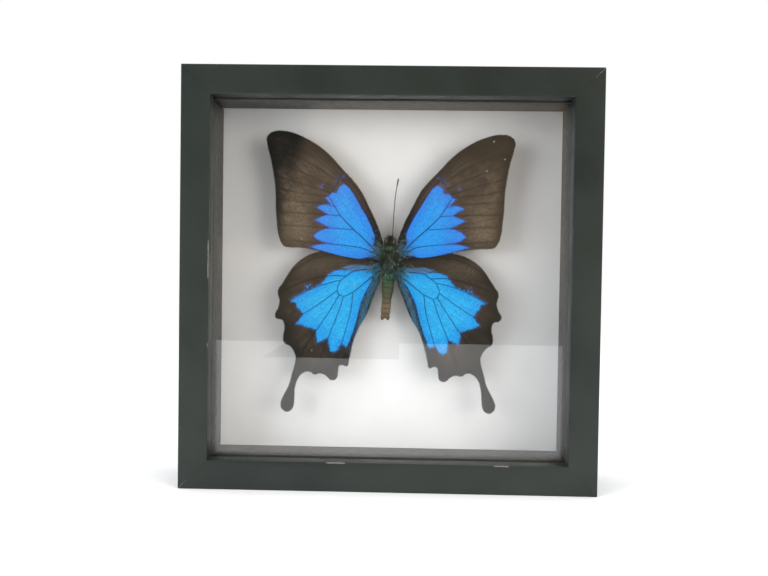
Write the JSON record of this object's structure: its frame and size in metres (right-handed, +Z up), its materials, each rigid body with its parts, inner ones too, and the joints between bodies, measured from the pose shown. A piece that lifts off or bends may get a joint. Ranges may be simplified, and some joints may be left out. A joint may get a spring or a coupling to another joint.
{
  "type": "framed butterfly specimen",
  "caption": "Spread blue swallowtail butterfly fixed on a pale card inside a standing near-black wooden box frame with a glass front.",
  "frame": {"origin": "centre of the frame's underside, in the middle of its width and depth", "axes": "+Z up the standing frame, front glass faces -Y, +Y out of the back, +X to the viewer's right when looking at the glass"},
  "size_m": [0.18, 0.035, 0.182],
  "materials": {
    "painted_wood": "satin near-black paint on wood, small scuffs on the lip's edges",
    "dark_strip": "satin near-black spacer strip",
    "clear_glass": "clear picture glass",
    "pale_card": "matt pale grey-white mount card",
    "brown_board": "smooth brown hardboard",
    "plated_steel": "zinc-plated sheet and wire",
    "thorax_pile": "near-black cuticle under short black and green pile",
    "head_pile": "near-black cuticle with short pile and dark glossy eyes",
    "abdomen_scales": "dry cuticle with olive to tan scales",
    "forewing_scales": "brown-black scaled membrane with an azure patch",
    "hindwing_scales": "brown-black scaled membrane with an azure patch",
    "antenna": "dark brown, faintly ringed",
    "cork_post": "pressed cork"
  },
  "bodies": {
    "root": {"rail_top": "painted_wood", "rail_bottom": "painted_wood", "rail_left": "painted_wood", "rail_right": "painted_wood", "glass_pane": "clear_glass", "spacer_top": "dark_strip", "spacer_bottom": "dark_strip", "spacer_left": "dark_strip", "spacer_right": "dark_strip", "backing_card": "pale_card", "back_board": "brown_board", "point_top_1": "plated_steel", "point_top_2": "plated_steel", "point_bottom_1": "plated_steel", "point_bottom_2": "plated_steel", "point_left_1": "plated_steel", "point_left_2": "plated_steel", "point_right_1": "plated_steel", "point_right_2": "plated_steel", "hanger_plate": "plated_steel", "hanger_nail_left": "plated_steel", "hanger_nail_right": "plated_steel", "thorax": "thorax_pile", "head": "head_pile", "abdomen": "abdomen_scales", "forewing_left": "forewing_scales", "forewing_right": "forewing_scales", "hindwing_left": "hindwing_scales", "hindwing_right": "hindwing_scales", "antenna_right": "antenna", "mount_post": "cork_post"}
  },
  "joints": []
}
